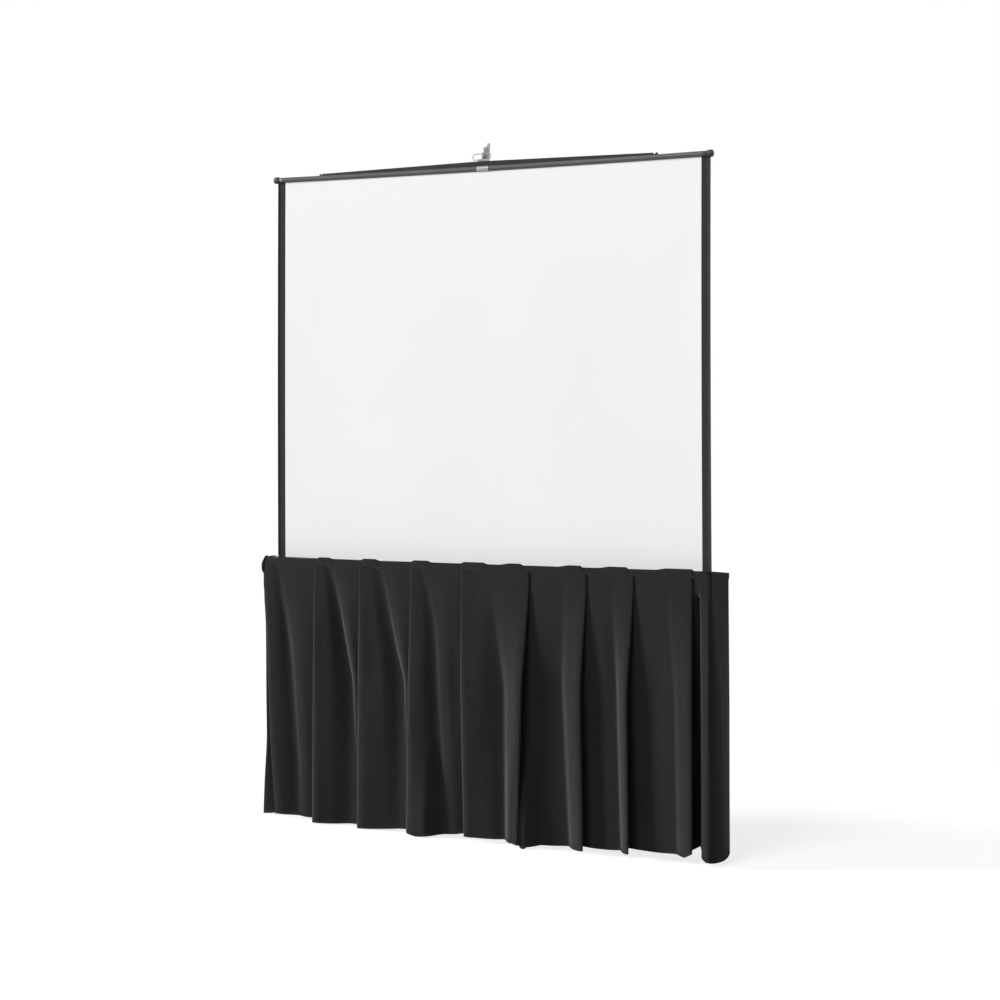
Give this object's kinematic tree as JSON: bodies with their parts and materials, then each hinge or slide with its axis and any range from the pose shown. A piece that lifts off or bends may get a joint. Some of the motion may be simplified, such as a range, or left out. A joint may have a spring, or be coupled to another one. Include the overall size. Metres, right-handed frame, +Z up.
{
  "type": "hanging projection screen",
  "caption": "Free-standing tripod projection screen: white masked cloth under a black slat and bail on a telescoping mast, pleated black skirt below.",
  "frame": {"origin": "on the floor, under the middle of the whole part's width and depth", "axes": "+X to the viewers' right, -Y towards the viewers (the white face looks along -Y), +Z up"},
  "size_m": [1.955, 0.4274, 2.6653],
  "materials": {
    "white_screen_cloth": "matte",
    "black_drape_cloth": "matte",
    "satin_black_metal": "satin",
    "black_enamel": "satin",
    "chrome_plate": "polished",
    "grey_steel": "satin",
    "black_plastic": "satin",
    "black_rubber": "matte"
  },
  "bodies": {
    "stand": {"column_tube": "satin_black_metal", "column_plug": "black_plastic", "column_clamp": "black_plastic", "leg_hub": "black_enamel", "hub_pin_1": "grey_steel", "hub_pin_2": "grey_steel", "hub_pin_3": "grey_steel"},
    "leg_1": {"leg_1": "satin_black_metal", "leg_end_1": "black_plastic", "leg_foot_1": "black_rubber"},
    "leg_2": {"leg_2": "satin_black_metal", "leg_end_2": "black_plastic", "leg_foot_2": "black_rubber"},
    "leg_3": {"leg_3": "satin_black_metal", "leg_end_3": "black_plastic", "leg_foot_3": "black_rubber"},
    "brace_1": {"brace_1": "satin_black_metal"},
    "brace_2": {"brace_2": "satin_black_metal"},
    "brace_3": {"brace_3": "satin_black_metal"},
    "collar": {"spreader_collar": "black_plastic"},
    "knob": {"clamp_knob": "black_plastic"},
    "carriage": {"carriage_tube": "grey_steel", "carriage_guide": "black_plastic", "mast_clamp": "black_plastic", "lever_pin": "grey_steel", "case_bracket": "black_enamel", "case_pivot": "grey_steel", "case_shell": "black_enamel", "case_cap_left": "black_plastic", "case_cap_right": "black_plastic", "roller_spindle": "grey_steel", "roller_spring": "grey_steel", "skirt_tape": "black_drape_cloth", "handle_lug_left": "black_plastic", "handle_lug_right": "black_plastic", "skirt": "black_drape_cloth", "skirt_heading": "black_drape_cloth", "screen_cloth": "white_screen_cloth"},
    "lever": {"mast_lever": "black_plastic"},
    "handle": {"carry_handle": "grey_steel", "handle_grip": "black_rubber"},
    "roller": {"roller_tube": "grey_steel", "cloth_roll": "white_screen_cloth", "roller_plug_left": "black_plastic", "roller_plug_right": "black_plastic"},
    "mast": {"mast_tube": "chrome_plate", "mast_bushing": "black_plastic", "mast_head": "chrome_plate", "arm_pin": "grey_steel", "mast_hook": "chrome_plate"},
    "arm": {"keystone_arm": "chrome_plate"},
    "slat": {"slat_tube": "satin_black_metal", "slat_cap_left": "black_plastic", "slat_cap_right": "black_plastic", "bail": "black_enamel", "bail_clip_left": "chrome_plate", "bail_clip_right": "chrome_plate", "centre_clip": "chrome_plate", "hanging_loop": "chrome_plate"}
  },
  "joints": [
    {"name": "leg_1_fold", "type": "hinge", "parent": "stand", "child": "leg_1", "pos_m": [0.02944, -0.07428, 0.59], "axis": [0.5, 0.866, 0], "range_deg": [0, 21]},
    {"name": "brace_1_fold", "type": "hinge", "parent": "leg_1", "child": "brace_1", "pos_m": [0.07296, -0.0994, 0.45933], "axis": [0.5, 0.866, 0], "range_deg": [-42.1, 0]},
    {"name": "leg_2_fold", "type": "hinge", "parent": "stand", "child": "leg_2", "pos_m": [0, -0.02328, 0.59], "axis": [-1, 0, 0], "range_deg": [0, 21]},
    {"name": "brace_2_fold", "type": "hinge", "parent": "leg_2", "child": "brace_2", "pos_m": [0, 0.02696, 0.45933], "axis": [-1, 0, 0], "range_deg": [-42.1, 0]},
    {"name": "leg_3_fold", "type": "hinge", "parent": "stand", "child": "leg_3", "pos_m": [-0.02944, -0.07428, 0.59], "axis": [0.5, -0.866, 0], "range_deg": [0, 21]},
    {"name": "brace_3_fold", "type": "hinge", "parent": "leg_3", "child": "brace_3", "pos_m": [-0.07296, -0.0994, 0.45933], "axis": [0.5, -0.866, 0], "range_deg": [-42.1, 0]},
    {"name": "collar_slide", "type": "slide", "parent": "stand", "child": "collar", "axis": [0, 0, 1], "range_m": [-0.0188, 0]},
    {"name": "knob_turn", "type": "hinge", "parent": "stand", "child": "knob", "pos_m": [0, -0.05728, 0.709], "axis": [0, 1, 0], "range_deg": [0, 360]},
    {"name": "carriage_slide", "type": "slide", "parent": "stand", "child": "carriage", "axis": [0, 0, 1], "range_m": [-0.25, 0], "deforming": ["skirt"]},
    {"name": "lever_flip", "type": "hinge", "parent": "carriage", "child": "lever", "pos_m": [0, -0.03178, 1.498], "axis": [1, 0, 0], "range_deg": [0, 90]},
    {"name": "handle_swing", "type": "hinge", "parent": "carriage", "child": "handle", "pos_m": [0.33, -0.07798, 1.014], "axis": [1, 0, 0], "range_deg": [0, 120]},
    {"name": "mast_slide", "type": "slide", "parent": "carriage", "child": "mast", "axis": [0, 0, 1], "range_m": [-0.9, 0]},
    {"name": "slat_slide", "type": "slide", "parent": "carriage", "child": "slat", "axis": [0, 0, 1], "range_m": [-0.9, 0], "deforming": ["screen_cloth"]},
    {"name": "roller_spin", "type": "hinge", "parent": "carriage", "child": "roller", "pos_m": [0, -0.12408, 0.998], "axis": [1, 0, 0], "range_deg": [-2085, 0]},
    {"name": "arm_fold", "type": "hinge", "parent": "mast", "child": "arm", "pos_m": [0, -0.03648, 2.6598], "axis": [1, 0, 0], "range_deg": [0, 270]}
  ],
  "couplings": [
    {"joint": "leg_2_fold", "follows": "leg_1_fold", "ratio": 1},
    {"joint": "leg_3_fold", "follows": "leg_1_fold", "ratio": 1},
    {"joint": "brace_1_fold", "follows": "leg_1_fold", "ratio": -2},
    {"joint": "brace_2_fold", "follows": "leg_1_fold", "ratio": -2},
    {"joint": "brace_3_fold", "follows": "leg_1_fold", "ratio": -2},
    {"joint": "collar_slide", "follows": "leg_1_fold", "m_per_rad": -0.0509},
    {"joint": "slat_slide", "follows": "mast_slide", "ratio": 1},
    {"joint": "roller_spin", "follows": "mast_slide", "rad_per_m": 40.3}
  ]
}
